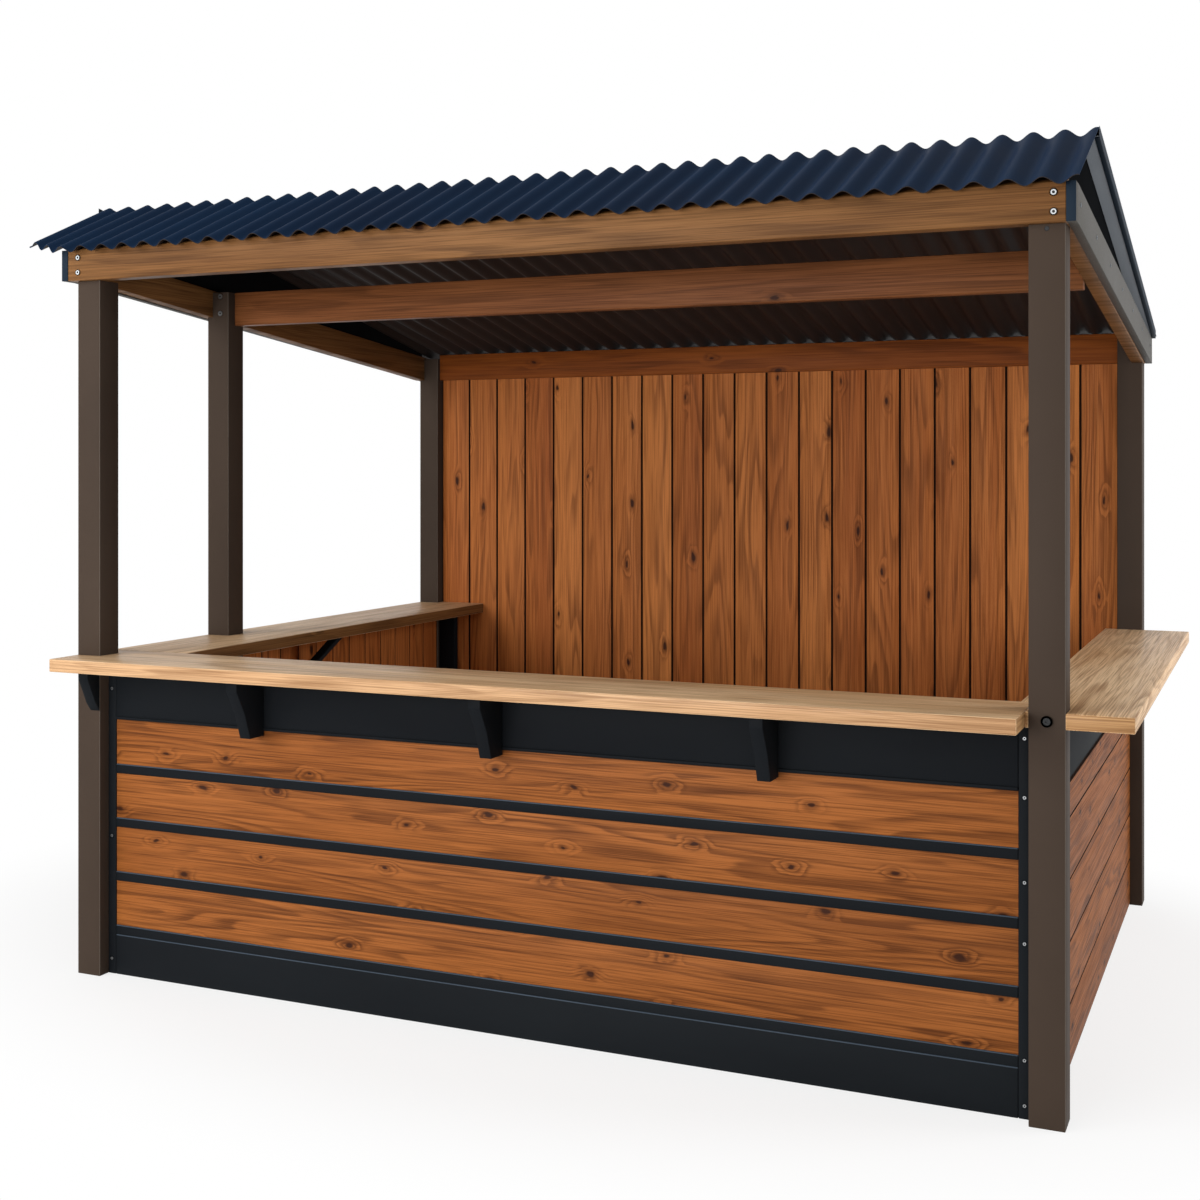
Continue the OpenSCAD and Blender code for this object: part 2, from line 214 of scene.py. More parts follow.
def wood(name, along, across, pale, mid, dark, rings=16.0, ring_mix=0.5, knot=0.75,
         arch=(0.55, 8.0), knot_gap=(3.6, 7.0), tone=0.5, pore=0.5, rough=0.55, coat=0.0):
    """Boards whose grain runs along one direction. knot is the share of places that hold one."""
    made, tree, shader = new_material(name)

    def math_node(kind, a, b):
        return add(tree, "ShaderNodeMath", {"operation": kind}, i0=a, i1=b).outputs[0]

    def span(value, low, high, to_low=0.0, to_high=1.0):
        return add(tree, "ShaderNodeMapRange", {"interpolation_type": "SMOOTHSTEP"}, Value=value,
                   From_Min=low, From_Max=high, To_Min=to_low, To_Max=to_high).outputs[0]

    def measured(direction):
        return add(tree, "ShaderNodeVectorMath", {"operation": "DOT_PRODUCT"}, i0=place,
                   i1=direction).outputs["Value"]

    place = add(tree, "ShaderNodeTexCoord").outputs["Object"]
    place = add(tree, "ShaderNodeMapping", Vector=place).outputs[0]
    u = measured(along)
    v = measured(across)
    number = add(tree, "ShaderNodeAttribute", {"attribute_name": "board"}).outputs["Fac"]
    shift = math_node("MULTIPLY", number, 13.7)
    flat = add(tree, "ShaderNodeCombineXYZ", X=math_node("ADD", u, shift), Y=v, Z=shift).outputs[0]

    def stretched(a, b):
        return add(tree, "ShaderNodeVectorMath", {"operation": "MULTIPLY"}, i0=flat,
                   i1=(a, b, 3.0)).outputs[0]

    def noise(a, b, detail, roughness=0.5):
        return add(tree, "ShaderNodeTexNoise", Vector=stretched(a, b), Scale=1.0, Detail=detail,
                   Roughness=roughness).outputs["Fac"]

    # growth rings: level lines of a field that rises round each knot
    wander = add(tree, "ShaderNodeTexNoise", Vector=stretched(14.0, 45.0), Scale=1.0,
                 Detail=2.0).outputs["Color"]
    spread = add(tree, "ShaderNodeVectorMath", {"operation": "MULTIPLY_ADD"}, i0=wander,
                 i1=(0.13, 0.13, 0.0), i2=stretched(*knot_gap)).outputs[0]
    spots = add(tree, "ShaderNodeTexVoronoi", {"voronoi_dimensions": "2D"}, Vector=spread, Scale=1.0,
                Randomness=0.85)
    draw = add(tree, "ShaderNodeSeparateColor", Color=spots.outputs["Color"])
    has = math_node("LESS_THAN", draw.outputs[0], knot)
    swell = math_node("MULTIPLY", span(spots.outputs["Distance"], 0.0, 0.24, 0.13, 0.0), has)
    field = math_node("ADD", noise(*arch, 2.5, 0.42), swell)
    saw = math_node("FRACT", math_node("MULTIPLY", field, rings), 0.0)
    line = math_node("MULTIPLY", span(saw, 0.25, 0.80), span(saw, 0.86, 1.0, 1.0, 0.0))
    # the lines fade in and out along the board
    line = math_node("MULTIPLY", line, span(noise(1.9, 14.0, 2.0), 0.32, 0.62, 0.15, 1.0))
    # streaks 3 mm and 14 mm across: real ones are 1 mm, and are drawn coarser so that they show
    fine = noise(3.5, 320.0, 3.0, 0.62)
    wide = noise(1.6, 70.0, 2.0)
    # the body's tone differs between boards and drifts along each
    own = add(tree, "ShaderNodeTexWhiteNoise", {"noise_dimensions": "1D"}, W=number).outputs["Value"]
    drift = span(noise(1.3, 5.0, 2.0), 0.30, 0.70)
    shade = add(tree, "ShaderNodeMix", {"data_type": "FLOAT"}, i0=tone, i2=drift, i3=own).outputs[0]
    body = mixed(tree, shade, linear(mid), linear(pale))
    body = mixed(tree, math_node("MULTIPLY", line, ring_mix), body, linear(dark))
    body = mixed(tree, span(fine, 0.44, 0.66, 0.0, pore), body, linear(dark))
    body = mixed(tree, span(fine, 0.46, 0.30, 0.0, 0.35), body, linear(pale))
    body = mixed(tree, span(wide, 0.50, 0.78, 0.0, pore * 0.6), body, linear(dark))
    body = mixed(tree, span(wide, 0.46, 0.24, 0.0, 0.30), body, linear(pale))
    # a knot: a dark heart in a brown halo
    size = add(tree, "ShaderNodeMapRange", Value=draw.outputs[1], To_Min=0.55, To_Max=1.35).outputs[0]
    far = math_node("DIVIDE", spots.outputs["Distance"], size)
    halo = math_node("MULTIPLY", span(far, 0.04, 0.15, 0.45, 0.0), has)
    body = mixed(tree, halo, body, linear(dark))
    heart = math_node("MULTIPLY", span(far, 0.028, 0.066, 0.92, 0.0), has)
    body = mixed(tree, heart, body, linear(knot_heart))
    relief = add(tree, "ShaderNodeMix", {"data_type": "FLOAT"}, i0=0.5, i2=fine, i3=line).outputs[0]
    up = add(tree, "ShaderNodeBump", {"invert": True}, Strength=0.6, Distance=grain_depth,
             Height=relief).outputs[0]
    tree.links.new(body, shader.inputs["Base Color"])
    tree.links.new(up, shader.inputs["Normal"])
    tree.links.new(span(fine, 0.3, 0.7, rough - 0.05, rough + 0.10), shader.inputs["Roughness"])
    shader.inputs["Specular IOR Level"].default_value = wood_gleam
    shader.inputs["Coat Weight"].default_value = coat
    return made


# %% The woods
# Where across leans towards a second axis, both that piece's top and its front show grain.
finishes = {}
# stained pine boards, planed and wiped with an orange-brown stain
finishes["stained_boards"] = wood(
    "stained pine, level boards", (1.0, 1.0, 0.0), (0.0, 0.0, 1.0),
    "#9C5D2C", "#81491E", "#3F1D08", ring_mix=0.60, pore=0.55)
finishes["stained_boards_upright"] = wood(
    "stained pine, upright boards", (0.0, 0.0, 1.0), (1.0, 1.0, 0.0),
    "#C77C40", "#9B5425", "#4A2009", rings=13.0, ring_mix=0.50, tone=0.75, knot=0.42,
    knot_gap=(3.0, 7.0), pore=0.42)
# planed larch beams, oiled
finishes["beam_wood"] = wood(
    "oiled larch beam", (1.0, 1.0, 0.0), (0.0, 0.0, 1.0),
    "#815A34", "#6A4626", "#36200E", rings=9.0, ring_mix=0.45, knot=0.10, tone=0.3, rough=0.5, pore=0.45)
# the middle beam stands in the shade under the roof and gets its own redder copy of the beam wood: painted
# warm shade
finishes["sheltered_beam"] = wood(
    "oiled larch beam with painted warm shade", (1.0, 1.0, 0.0), (0.0, 0.0, 1.0),
    "#875430", "#6B3E20", "#381D0C", rings=9.0, ring_mix=0.45, knot=0.10, tone=0.3, rough=0.5, pore=0.45)
finishes["plate_wood"] = wood(
    "stained pine plate", (1.0, 0.0, 0.0), (0.0, 0.8, 1.0),
    "#8C4A19", "#713810", "#3C1A07", rings=9.0, ring_mix=0.45, knot=0.15, tone=0.3, pore=0.4)
# oak counter planks: pale, with fine dark pores and no knots
oak = dict(rings=16.0, ring_mix=0.42, knot=0.0, arch=(0.45, 9.0), tone=0.2, pore=0.55,
           rough=0.42, coat=0.03)
finishes["counter_wood_x"] = wood(
    "oiled oak along X", (1.0, 0.0, 0.0), (0.0, 1.0, 0.8), "#E9C8A0", "#D6AC7E", "#7C532F", **oak)
finishes["counter_wood_y"] = wood(
    "oiled oak along Y", (0.0, 1.0, 0.0), (1.0, 0.0, 0.8), "#E9C8A0", "#D6AC7E", "#7C532F", **oak)
# the front counter's front face is given a darker oak
finishes["oak_edge"] = wood(
    "darker oak front edge", (1.0, 0.0, 0.0), (0.0, 0.0, 1.0), "#CDA67E", "#BA9068", "#76502F", **oak)
# a plank's sawn end drinks more oil than its side, and is browner
finishes["oak_end"] = wood(
    "oiled oak end grain", (1.0, 1.0, 0.0), (0.0, 0.0, 1.0), "#C39A6B", "#A97F54", "#6B4526", **oak)


# %% [markdown]
# ## Paint on wood and metal
# The posts are powder-coated steel: the coat has a fine orange-peel skin, a
# millimetre or two across. The black trim is brushed satin paint on wood, so
# the grain shows through a little. The roof is coil-coated steel sheet with a
# smooth skin and slightly cloudy gloss. One function covers them, with the
# skin's grain size and depth as its settings.

# %% Paints
cloud_scale = 1.5
fleck_mm = 3.0


def paint(name, hexa, hexb, rough, skin_mm, depth_mm, stretch=(1.0, 1.0, 1.0), metal=0.0,
          fleck=0.0, gleam=0.5):
    """A coat that drifts between two colours. fleck adds pale specks."""
    made, tree, shader = new_material(name)
    shader.inputs["Specular IOR Level"].default_value = gleam
    place = add(tree, "ShaderNodeTexCoord").outputs["Object"]
    place = add(tree, "ShaderNodeMapping", Vector=place, Scale=stretch).outputs[0]
    haze = add(tree, "ShaderNodeTexNoise", Vector=place, Scale=cloud_scale, Detail=4.0,
               Roughness=0.6).outputs["Fac"]
    haze = add(tree, "ShaderNodeMapRange", Value=haze, From_Min=0.3, From_Max=0.7).outputs[0]
    body = mixed(tree, haze, linear(hexa), linear(hexb))
    if fleck > 0:
        spots = add(tree, "ShaderNodeTexNoise", Vector=place, Scale=1000 / fleck_mm,
                    Detail=2.0).outputs["Fac"]
        spots = add(tree, "ShaderNodeMapRange", Value=spots, From_Min=0.58, From_Max=0.74,
                    To_Max=fleck).outputs[0]
        body = mixed(tree, spots, body, linear("#FFFFFF"))
    skin = add(tree, "ShaderNodeTexNoise", Vector=place, Scale=1000 / skin_mm,
               Detail=2.0).outputs["Fac"]
    up = add(tree, "ShaderNodeBump", Strength=0.5, Distance=depth_mm / 1000, Height=skin).outputs[0]
    gloss = add(tree, "ShaderNodeMapRange", Value=haze, To_Min=rough - 0.05,
                To_Max=rough + 0.08).outputs[0]
    tree.links.new(body, shader.inputs["Base Color"])
    tree.links.new(up, shader.inputs["Normal"])
    tree.links.new(gloss, shader.inputs["Roughness"])
    shader.inputs["Metallic"].default_value = metal
    return made


finishes["post_metal"] = paint(
    "bronze powder coat", "#3C322B", "#443931", 0.5, 2.5, 0.05, gleam=0.03)
finishes["black_paint"] = paint(
    "satin black paint on wood", "#15171A", "#1C1F22", 0.5, 6.0, 0.12, stretch=(0.3, 0.3, 1.0), gleam=0.02)
finishes["roof_metal"] = paint(
    "dark blue coil-coated steel", "#13233A", "#182C45", 0.5, 8.0, 0.03, gleam=0.008)
# the sheets' underside is painted a dark grey-brown: painted shade under the roof
finishes["roof_underside_shade"] = paint(
    "dark grey underside, painted shade", "#241F1E", "#302A28", 0.5, 8.0, 0.03, gleam=0.06)
finishes["fascia_metal"] = paint(
    "grey coated steel trim", "#4A4845", "#53514D", 0.5, 3.0, 0.04, fleck=0.12, gleam=0.04)
# pale galvanised flashing, made paler still for the light thrown up from the floor onto the strips'
# underside: partly its own colour, partly painted light
finishes["verge_metal"] = paint(
    "pale galvanised flashing with painted floor light", "#949BA4", "#A0A7AF", 0.5, 3.0, 0.04, fleck=0.15, gleam=0.05)
# the post's front right corner gets a paler coat: a painted highlight on that edge
finishes["post_corner_highlight"] = paint(
    "painted highlight on a post corner", "#6B635B", "#787067", 0.45, 2.5, 0.05, gleam=0.05)
# the gable infill gets a darker matt black without gloss: painted shadow in the gap under the verge
finishes["matt_black"] = paint("matt black, painted shadow", "#121314", "#17181A", 0.8, 6.0, 0.12, gleam=0.0)
# a batten's upper front edge is painted a paler blue-grey: a painted highlight where the black paint
# catches the sky
finishes["batten_edge_highlight"] = paint(
    "painted highlight on black paint", "#39424C", "#434D58", 0.5, 6.0, 0.05, gleam=0.05)
finishes["slate_trim"] = paint(
    "slate coated steel trim", "#1A232D", "#212C38", 0.5, 3.0, 0.04, gleam=0.03)
# the board's tongue edge is painted almost black: painted shade deep in the groove
finishes["tongue_wood"] = paint(
    "painted shade in a board's groove", "#1A0D06", "#241208", 0.8, 4.0, 0.2, stretch=(1.0, 1.0, 0.2), gleam=0.1)
# zinc-plated steel: bright, slightly soft
finishes["zinc"] = paint("zinc-plated steel", "#A6A8A9", "#999C9E", 0.35, 1.0, 0.01, metal=0.7)
# blackened steel for the bolt heads, also used as painted shade inside the screws' and rivets' recesses
finishes["black_steel_and_recess_shade"] = paint("blackened steel and painted recess shade", "#101112", "#17181A", 0.35, 1.0, 0.02, metal=0.6)

for row in frame["record"]["subparts"]:
    mesh = frame["nodes"][row["node"]].data
    mesh.materials.clear()
    # the gable infill pieces take the darker matt black: painted shadow
    gable = row["node"].startswith("gable_infill")
    mesh.materials.append(finishes["matt_black" if gable else row["material_slot"]])
slot_of = {row["node"]: row["material_slot"] for row in frame["record"]["subparts"]}
print(len(finishes), "finishes")

# %% [markdown]
# ## Finishing a piece
# Every finished piece is smoothed by angle, takes the finish its slot names
# unless another is given, and rides on the kiosk's one body. `number` writes a board's own number.

# %% Finishing helpers
made_names = []


def finished(piece, name, slot, angle=35, finish=None):
    """Names a piece, smooths it, and gives it its body and the finish named by finish, or else by slot."""
    active(piece)
    piece.name = name
    piece.data.name = name
    bpy.ops.object.shade_smooth_by_angle(angle=math.radians(angle))
    if not piece.data.materials:
        piece.data.materials.append(None)
    piece.data.materials[0] = finishes[finish or slot]
    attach(piece, "root")
    made_names.append(name)
    return piece


def second_finish(piece, name, wanted):
    """Gives the faces for which wanted is true another finish."""
    active(piece)
    piece.data.materials.append(finishes[name])
    bpy.ops.object.mode_set(mode="EDIT")
    pick(piece, "face", wanted)
    piece.active_material_index = len(piece.data.materials) - 1
    bpy.ops.object.material_slot_assign()
    bpy.ops.object.mode_set(mode="OBJECT")


def number(piece, value):
    """Writes one board's own number on all its corners."""
    layer = piece.data.attributes.get("board") or piece.data.attributes.new("board", "FLOAT", "POINT")
    layer.data.foreach_set("value", [value] * len(piece.data.vertices))


def joined(parts):
    """Joins the parts into one piece."""
    active(parts[0])
    for part in parts:
        part.select_set(True)
    bpy.context.view_layer.objects.active = parts[0]
    if len(parts) > 1:
        bpy.ops.object.join()
    return bpy.context.object


def modify(piece, kind, **settings):
    """Adds a modifier with its settings, and applies it."""
    active(piece)
    made = piece.modifiers.new(kind, kind)
    for key, value in settings.items():
        setattr(made, key, value)
    bpy.ops.object.modifier_apply(modifier=made.name)


# %% [markdown]
# ## Softened edges
# No sawn, planed or folded edge is perfectly sharp, and the thin line of light
# on it is what makes it look real. A CAD piece whose shape is right is copied,
# its loose triangles are merged into whole faces, and its edges are rounded
# by a bevel. The copy stands for the node.

# %% Softened copies
merge_within = 0.00005


def softened(node, edge_mm, segments=2, value=None):
    """A copy of a CAD node with rounded edges. value is its board's own number."""
    piece = twin(frame["nodes"][node])
    piece.data.materials.clear()
    active(piece)
    bpy.ops.object.mode_set(mode="EDIT")
    bpy.ops.mesh.select_all(action="SELECT")
    bpy.ops.mesh.remove_doubles(threshold=merge_within)
    bpy.ops.mesh.dissolve_limited(angle_limit=math.radians(1))
    bpy.ops.object.mode_set(mode="OBJECT")
    modify(piece, "BEVEL", width=edge_mm / 1000, segments=segments, limit_method="ANGLE",
           angle_limit=math.radians(25), use_clamp_overlap=True)
    if value is not None:
        number(piece, value)
    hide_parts(node)
    return finished(piece, "eased_" + node, slot_of[node])


# %% [markdown]
# ## Posts, beams and rails
# The posts are folded square tube with a corner radius of 3.5 mm. Sawn beams
# have their edges eased by 2.5 mm, painted battens and counters by 3 mm, the
# brackets and fascias by 1.5 mm, and the thin verge strips by half a millimetre.

# %% Posts, beams, rails and trim
for place in ("front_left", "front_right", "middle_left", "rear_left", "rear_right"):
    post = softened("post_" + place, 3.5, 3)
    # the bevel faces on the front right corner take the paler coat: painted highlight
    second_finish(post, "post_corner_highlight", lambda f: f.normal.x > 0.3 and f.normal.y < -0.3)
for place, node in enumerate(("front_beam", "middle_beam", "rear_top_plate", "rafter_left", "rafter_right",
                              "ridge_purlin")):
    beam = softened(node, 2.5, 2, place * 0.37 + 0.1)
    # the middle beam takes the redder copy of the beam wood: painted warm shade under the roof
    if node == "middle_beam":
        beam.data.materials[0] = finishes["sheltered_beam"]
for node in ("front_stile_left", "front_stile_right", "front_top_rail", "front_skirt", "front_bar_1",
             "front_bar_2", "front_bar_3", "front_bar_4", "left_rail_front", "left_rail_rear", "right_rail",
             "rear_stile", "bracket_inner"):
    batten = softened(node, 3.0, 2)
    if node.startswith("front_bar") or node == "front_skirt":
        # the upward and forward facing bevels take the paler blue-grey: painted highlight
        second_finish(batten, "batten_edge_highlight", lambda f: f.normal.z > 0.2 and f.normal.y < -0.2)
for node in ("bracket_left", "bracket_middle", "bracket_right", "bracket_post", "fascia_left",
             "fascia_right"):
    softened(node, 1.5, 2)
# the verge strips' pale finish is partly painted light from the floor below
for node in ("verge_left", "verge_right"):
    verge = softened(node, 0.5, 1)
    second_finish(verge, "slate_trim", lambda f: abs(f.normal.x) > 0.5)
for place, node in enumerate(("counter_front", "counter_left", "counter_right")):
    counter = softened(node, 3.0, 3, place * 0.61 + 0.2)
    ends = 0 if node == "counter_front" else 1
    second_finish(counter, "oak_end", lambda f: abs(f.normal[ends]) > 0.9)
    if node == "counter_front":
        second_finish(counter, "oak_edge", lambda f: f.normal.y < -0.9)
    # the left counter's inner edge takes the darker beam wood: painted shade
    if node == "counter_left":
        second_finish(counter, "beam_wood", lambda f: f.normal.x > 0.9)
print(len(made_names), "softened pieces")


# %% [markdown]
# ## Boards
# The walls are made of boards with a tongue: they meet at mid thickness, and
# a gap of a few millimetres is left between their faces, which reads as a dark
# line. One board starts as a block, is cut twice through its thickness, and
# its middle layer is extruded to make the tongues. Each long edge gets a small
# bevel.

# %% One board, lying along X with its width up
edge_bevel = 0.0022


def tongued_board(run, width, thick, gap):
    """A board of one length, width and thickness. gap is left between its face and the next one's."""
    face = width - gap
    board = block("board", (-run / 2, -thick / 2, -face / 2), (run / 2, thick / 2, face / 2))
    active(board)
    bpy.ops.object.mode_set(mode="EDIT")
    for depth in (-thick / 6, thick / 6):
        bpy.ops.mesh.select_all(action="SELECT")
        bpy.ops.mesh.bisect(plane_co=(0, depth, 0), plane_no=(0, 1, 0))
    for side in (-1, 1):
        pick(board, "face", lambda f: side * f.normal.z > 0.9 and abs(middle(f).y) < thick / 8)
        bpy.ops.mesh.extrude_region_move(TRANSFORM_OT_translate={"value": (0, 0, side * gap / 2)})
    # the tongue's edge faces take the near-black finish: painted shade in the groove
    board.data.materials.append(None)
    board.data.materials.append(finishes["tongue_wood"])
    pick(board, "face", lambda f: abs(middle(f).z) > face / 2 - 1e-5)
    board.active_material_index = 1
    bpy.ops.object.material_slot_assign()

    def long_corner(edge):
        centre = middle(edge)
        return (abs(centre.x) < run / 8 and abs(abs(centre.y) - thick / 2) < 1e-4
                and abs(abs(centre.z) - face / 2) < 1e-4)

    pick(board, "edge", long_corner)
    bpy.ops.mesh.bevel(offset=edge_bevel, segments=2)
    bpy.ops.object.mode_set(mode="OBJECT")
    return board


# %% A wall of boards
chance = random.Random(7)


def wall_of_boards(name, slot, low, high, run, across, widths, gap, replaced=(), finish=None):
    """Boards between two corners. run and across are axis numbers; widths go up or rightwards."""
    low, high = Vector(low), Vector(high)
    deep = 3 - run - across
    length = high[run] - low[run]
    thick = high[deep] - low[deep]
    turn = Matrix.Identity(4)
    for column, axis in enumerate((run, deep, across)):
        for row in range(3):
            turn[row][column] = 1.0 if row == axis else 0.0
    if turn.determinant() < 0:
        turn = turn @ Matrix.Scale(-1, 4, (0, 1, 0))
    made = []
    master = None
    master_width = None
    at = low[across]
    for width in widths:
        if master is None or abs(width - master_width) > 1e-5:
            if master is not None:
                bpy.data.objects.remove(master)
            master = tongued_board(length, width, thick, gap)
            master_width = width
        board = twin(master)
        centre = (low + high) / 2
        centre[across] = at + width / 2
        at += width
        number(board, chance.random() * 4)
        board.matrix_world = Matrix.Translation(centre) @ turn
        settle(board)
        made.append(board)
    bpy.data.objects.remove(master)
    wall = joined(made)
    for node in replaced:
        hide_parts(node)
    return finished(wall, name, slot, 30, finish)


# %% [markdown]
# ## The back wall
# The back is closed by upright boards about 140 mm wide, as many as fit between
# the posts, with a gap of 8 mm between their faces.

# %% Back wall
back_gap = 0.008
back_board = 0.140
back_low, back_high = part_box("back_wall")
back_count = round((back_high.x - back_low.x) / back_board)
back_wide = (back_high.x - back_low.x) / back_count
wall_of_boards("back_boards", "stained_boards_upright", back_low, back_high, 2, 0,
               [back_wide] * back_count, back_gap, ["back_wall"])
print(back_count, "back boards of", round(back_wide * 1000, 1), "mm")

# %% [markdown]
# ## The front panel
# Four boards lie between the black battens, each 18 mm thick and tucked 4 mm
# behind the batten below it. Behind them an upright lining closes the inside.

# %% Front boards and lining
front_thick = 0.018
tuck = 0.004
panel_low, panel_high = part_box("front_boards")
bar_boxes = [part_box("front_bar_%d" % i) for i in (1, 2, 3, 4)]
front_parts = []
tops = [box[0].z for box in bar_boxes[1:]] + [panel_high.z]
for bar_box, top in zip(bar_boxes, tops):
    board = block("front board", (panel_low.x, panel_low.y, bar_box[1].z - tuck),
                  (panel_high.x, panel_low.y + front_thick, top))
    number(board, chance.random() * 4)
    modify(board, "BEVEL", width=0.0015, segments=2, limit_method="ANGLE")
    front_parts.append(board)
front_boards = joined(front_parts)
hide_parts("front_boards")
finished(front_boards, "front_panel_boards", "stained_boards")
lining_count = 24
lining_proud = 0.003
lining_sunk = 0.012
lining_gap = 0.004
lining_low = (panel_low.x, panel_high.y - lining_sunk, panel_low.z)
lining_high = (panel_high.x, panel_high.y + lining_proud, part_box("front_top_rail")[1].z)
wall_of_boards("front_lining", "stained_boards_upright", lining_low, lining_high, 2, 0,
               [(panel_high.x - panel_low.x) / lining_count] * lining_count, lining_gap)
print(len(front_parts), "front boards,", lining_count, "lining boards")

# %% [markdown]
# ## The side walls
# Outside, the side walls have level boards: four wide ones and a narrow one at
# the top. Inside they have upright lining boards, as the front does, which
# reach the counter's underside and cover the black rail.

# %% Side walls
outer_widths = [0.172, 0.172, 0.172, 0.172, 0.097]
outer_thick = 0.020
outer_gap = 0.005
side_lining_sunk = 0.014
side_lining_board = 0.12


def side_wall(node, outward):
    """Level boards outside and upright ones inside. outward is 1 on the right and -1 on the left."""
    low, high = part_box(node)
    outer_low, outer_high = low.copy(), high.copy()
    inner_low, inner_high = low.copy(), high.copy()
    if outward > 0:
        outer_low.x = high.x - outer_thick
        inner_low.x = low.x - lining_proud
        inner_high.x = low.x + side_lining_sunk
    else:
        outer_high.x = low.x + outer_thick
        inner_low.x = high.x - side_lining_sunk
        inner_high.x = high.x + lining_proud
    inner_high.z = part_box("right_rail")[1].z
    share = (high.z - low.z) / sum(outer_widths)
    wall_of_boards(node + "_outer", "stained_boards", outer_low, outer_high, 1, 2,
                   [w * share for w in outer_widths], outer_gap, [node])
    count = round((high.y - low.y) / side_lining_board)
    wall_of_boards(node + "_lining", "stained_boards", inner_low, inner_high, 2, 1,
                   [(high.y - low.y) / count] * count, lining_gap, [], "stained_boards_upright")


side_wall("right_wall", 1)
side_wall("left_wall_front", -1)
side_wall("left_wall_rear", -1)
print(len(made_names), "pieces so far")

# %% [markdown]
# ## The roof sheets
# Corrugated sheet is steel rolled into a smooth wave about 84 mm long and
# 20 mm high. One wave is a grid whose columns of corners are raised along a
# cosine. An array repeats it, Solidify gives it thickness, and it is then
# tilted into the slope and cut off along the ridge. The verge strips at the
# sides end in a folded dark hem, which is laid on the slope the same way.

# %% One wave and the sheet
sheet_low, sheet_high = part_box("roof_sheet_front")
waves = 40
pitch = (sheet_high.x - sheet_low.x) / (waves + 1 / 2 + 1 / 8)
wave_high = 0.020
sheet_thick = 0.002
columns = 20
past_ridge = 0.09


def corrugated(start, end):
    """A flat sheet, its waves across X, from start to end along Y."""
    rest()
    bpy.ops.mesh.primitive_grid_add(x_subdivisions=columns, y_subdivisions=1, size=1,
                                    location=(sheet_low.x + pitch * (1 / 16 - 0.5), (start + end) / 2, 0))
    sheet = bpy.context.object
    sheet.scale = (pitch, end - start, 1)
    settle(sheet)
    bpy.ops.object.mode_set(mode="EDIT")
    first = sheet_low.x + pitch * (1 / 16 - 1)
    for i in range(columns + 1):
        x = first + pitch * i / columns
        pick(sheet, "vert", lambda v: abs(v.co.x - x) < pitch / columns / 4)
        rise = wave_high * (1 - math.cos(2 * math.pi * i / columns)) / 2
        bpy.ops.transform.translate(value=(0, 0, rise))
    bpy.ops.object.mode_set(mode="OBJECT")
    modify(sheet, "ARRAY", count=waves + 2, relative_offset_displace=(1, 0, 0), use_merge_vertices=True,
           merge_threshold=0.0002)
    modify(sheet, "SOLIDIFY", thickness=sheet_thick, offset=1.0, use_even_offset=False)
    cut(sheet, (sheet_low.x, 0, 0), (-1, 0, 0))
    cut(sheet, (sheet_high.x, 0, 0), (1, 0, 0))
    return sheet


def cut(piece, place, away):
    """Cuts the piece by a plane, clears the side that away points to, and closes the cut."""
    active(piece)
    bpy.ops.object.mode_set(mode="EDIT")
    bpy.ops.mesh.select_all(action="SELECT")
    bpy.ops.mesh.bisect(plane_co=place, plane_no=away, clear_outer=True, use_fill=True)
    bpy.ops.object.mode_set(mode="OBJECT")


# %% Lay the sheets on the slopes
beam_low, beam_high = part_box("front_beam")
ridge_low, ridge_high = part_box("ridge_purlin")
plate_low, plate_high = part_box("rear_top_plate")
ridge_y = (ridge_low.y + ridge_high.y) / 2
ridge_z = ridge_high.z
front_pitch = math.atan2(ridge_z - beam_high.z, ridge_y - beam_high.y)
rear_pitch = math.atan2(ridge_z - plate_high.z, plate_low.y - ridge_y)
front_run = (ridge_y - sheet_low.y) / math.cos(front_pitch)
rear_sheet_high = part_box("roof_sheet_rear")[1]
rear_run = (rear_sheet_high.y - ridge_y) / math.cos(rear_pitch)

front_sheet = corrugated(-front_run + wave_high * math.sin(front_pitch), past_ridge)
front_sheet.location = (0, ridge_y, ridge_z)
front_sheet.rotation_euler = (front_pitch, 0, 0)
settle(front_sheet)
cut(front_sheet, (0, ridge_y, 0), (0, 1, 0))
# the front sheet's left corner is cut off across these two lengths
corner_x, corner_y = 0.185, 0.085
beam_proud, eave_over = 0.020, 0.025
eave_front = front - (beam_proud + eave_over)
cut(front_sheet, (sheet_low.x + pitch / 16 + corner_x, eave_front, 0), (-corner_y, -corner_x, 0))
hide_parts("roof_sheet_front")
finished(front_sheet, "front_roof_sheet", "roof_metal", 40)
# the downward faces take the dark grey-brown: painted shade under the roof
second_finish(front_sheet, "roof_underside_shade", lambda f: f.normal.z < -0.05)

rear_sheet = corrugated(-past_ridge, rear_run - wave_high * math.sin(rear_pitch))
rear_sheet.location = (0, ridge_y, ridge_z)
rear_sheet.rotation_euler = (-rear_pitch, 0, 0)
settle(rear_sheet)
cut(rear_sheet, (0, ridge_y, 0), (0, -1, 0))
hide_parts("roof_sheet_rear")
finished(rear_sheet, "rear_roof_sheet", "roof_metal", 40)
# the downward faces take the dark grey-brown: painted shade under the roof
second_finish(rear_sheet, "roof_underside_shade", lambda f: f.normal.z < -0.05)

